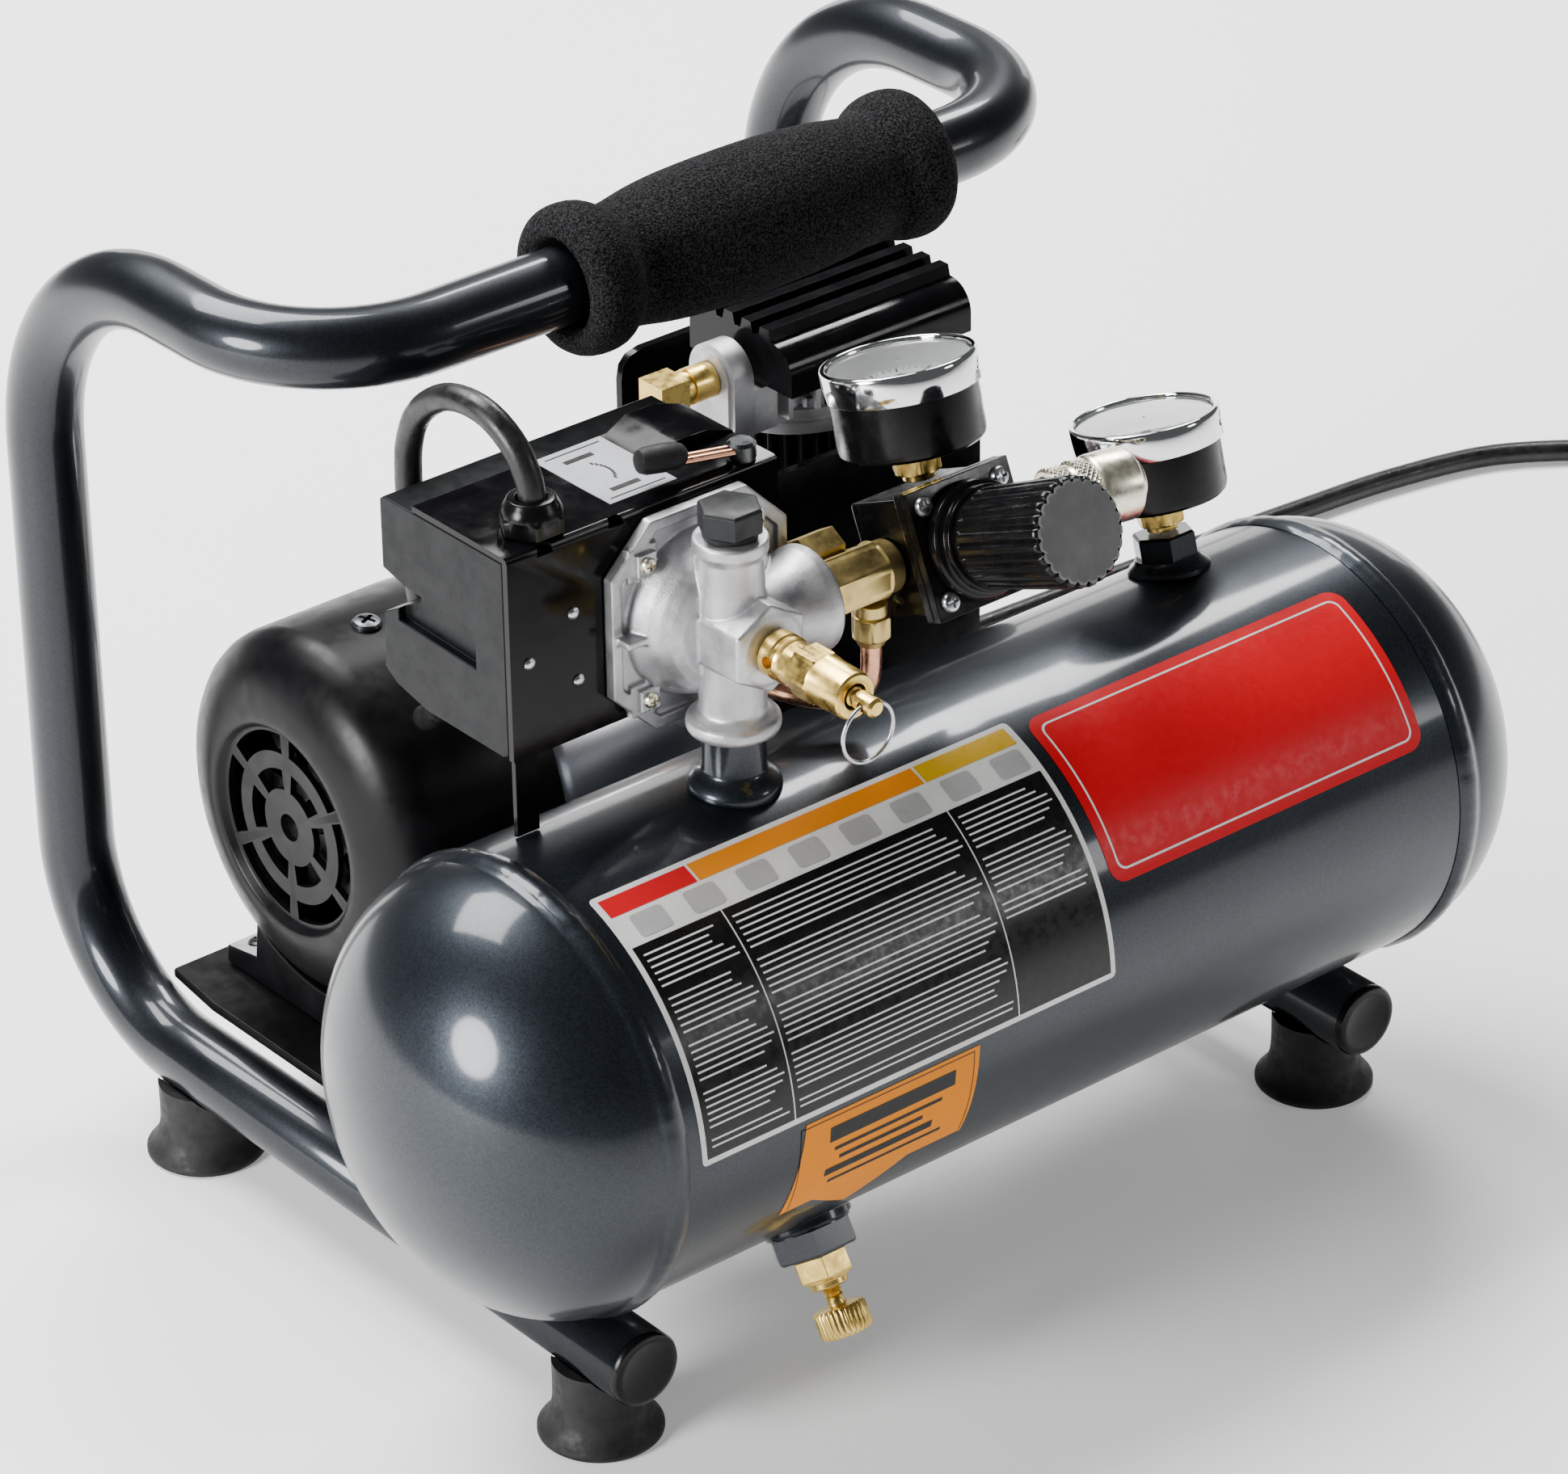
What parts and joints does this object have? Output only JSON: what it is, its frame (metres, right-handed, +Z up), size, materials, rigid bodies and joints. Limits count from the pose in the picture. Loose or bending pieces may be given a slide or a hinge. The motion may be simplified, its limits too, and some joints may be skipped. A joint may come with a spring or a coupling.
{
  "type": "air compressor",
  "caption": "Small horizontal-tank oil-free air compressor with motor and pump on a plate, bent tube carrying frame, pressure switch, regulator, gauges and quick coupler.",
  "frame": {"origin": "on the floor, at the centre of the footprint of the machine without its free cord", "axes": "+X along the tank and the motor shaft, towards the pump; -Y towards the side with the tank, gauges and controls; +Z up"},
  "size_m": [0.8077, 0.32, 0.285],
  "materials": {
    "tank_paint": "gloss",
    "frame_paint": "gloss",
    "black_steel": "satin",
    "foam": "matte",
    "rubber": "matte",
    "satin_plastic": "satin",
    "gloss_plastic": "gloss",
    "cast_aluminium": "cast",
    "brass": "polished",
    "copper": "polished",
    "steel": "brushed",
    "chrome": "polished",
    "needle_red": "satin"
  },
  "bodies": {
    "frame": {"check_fitting": "brass", "cord_coil": "rubber", "cord_plug": "rubber", "cord_relief": "rubber", "coupler_body": "brass", "crankcase": "cast_aluminium", "cylinder_barrel": "black_steel", "cylinder_head": "cast_aluminium", "delivery_tube": "copper", "drain_bung": "tank_paint", "drain_fitting": "brass", "foot_front_left": "rubber", "foot_front_right": "rubber", "foot_rear_left": "rubber", "foot_rear_right": "rubber", "frame_tube": "frame_paint", "gauge_bung": "tank_paint", "handle_grip": "foam", "head_cover": "gloss_plastic", "head_elbow": "brass", "inlet_coupling": "brass", "lead_gland": "satin_plastic", "manifold": "cast_aluminium", "manifold_plug": "satin_plastic", "motor_foot": "cast_aluminium", "motor_lead": "rubber", "motor_plate": "black_steel", "motor_shell": "black_steel", "motor_stator": "steel", "outlet_gauge": "gloss_plastic", "outlet_gauge_bezel": "chrome", "power_cord": "rubber", "pump_shroud": "gloss_plastic", "regulator_body": "satin_plastic", "regulator_bonnet": "satin_plastic", "saddle_left": "tank_paint", "saddle_right": "tank_paint", "safety_valve": "brass", "switch_housing": "satin_plastic", "switch_plate": "black_steel", "tank_gauge": "gloss_plastic", "tank_gauge_bezel": "chrome", "tank_head_left": "tank_paint", "tank_head_right": "tank_paint", "tank_nipple": "steel", "tank_shell": "tank_paint", "tube_cap_left": "satin_plastic", "tube_cap_right": "satin_plastic"},
    "rotor": {"crankshaft": "steel", "motor_fan": "satin_plastic", "pump_fan": "satin_plastic"},
    "piston": {"wobble_piston": "cast_aluminium"},
    "lever": {"switch_lever": "copper"},
    "stem": {"safety_stem": "brass"},
    "ring": {"pull_ring": "steel"},
    "knob": {"regulator_knob": "satin_plastic"},
    "sleeve": {"coupler_sleeve": "brass"},
    "drain_knob": {"drain_screw": "brass"},
    "outlet_needle": {"outlet_gauge_needle": "needle_red"},
    "tank_needle": {"tank_gauge_needle": "needle_red"}
  },
  "joints": [
    {"name": "rotor_spin", "type": "hinge", "parent": "frame", "child": "rotor", "pos_m": [0, 0.0543, 0.108], "axis": [1, 0, 0], "continuous": true},
    {"name": "piston_stroke", "type": "slide", "parent": "frame", "child": "piston", "axis": [0, 0, 1], "range_m": [-0.005, 0.005]},
    {"name": "lever_swing", "type": "hinge", "parent": "frame", "child": "lever", "pos_m": [-0.046, -0.0607, 0.2419], "axis": [0, 0, -1], "range_deg": [0, 25]},
    {"name": "valve_pull", "type": "slide", "parent": "frame", "child": "stem", "axis": [0, -1, 0], "range_m": [0, 0.003], "stiffness_N_per_m": 400},
    {"name": "ring_swing", "type": "hinge", "parent": "stem", "child": "ring", "pos_m": [-0.0665, -0.1337, 0.2085], "axis": [1, 0, 0], "range_deg": [-80, 50]},
    {"name": "regulator_turn", "type": "hinge", "parent": "frame", "child": "knob", "pos_m": [0.0005, -0.0827, 0.2105], "axis": [0, -0.9135, 0.4067], "range_deg": [-540, 540]},
    {"name": "coupler_slide", "type": "slide", "parent": "frame", "child": "sleeve", "axis": [-0.9848, 0.1736, 0], "range_m": [0, 0.004], "stiffness_N_per_m": 800},
    {"name": "drain_turn", "type": "hinge", "parent": "frame", "child": "drain_knob", "pos_m": [-0.074, -0.11592, 0.05025], "axis": [0, -0.5358, -0.8443], "range_deg": [0, 720]},
    {"name": "outlet_needle_turn", "type": "hinge", "parent": "frame", "child": "outlet_needle", "pos_m": [0.0005, -0.07579, 0.22603], "axis": [0, -0.2588, -0.9659], "range_deg": [0, 270], "stiffness_Nm_per_rad": 0.0005},
    {"name": "tank_needle_turn", "type": "hinge", "parent": "frame", "child": "tank_needle", "pos_m": [0.098, -0.06386, 0.17292], "axis": [0, -0.2588, -0.9659], "range_deg": [0, 270], "stiffness_Nm_per_rad": 0.0005}
  ]
}
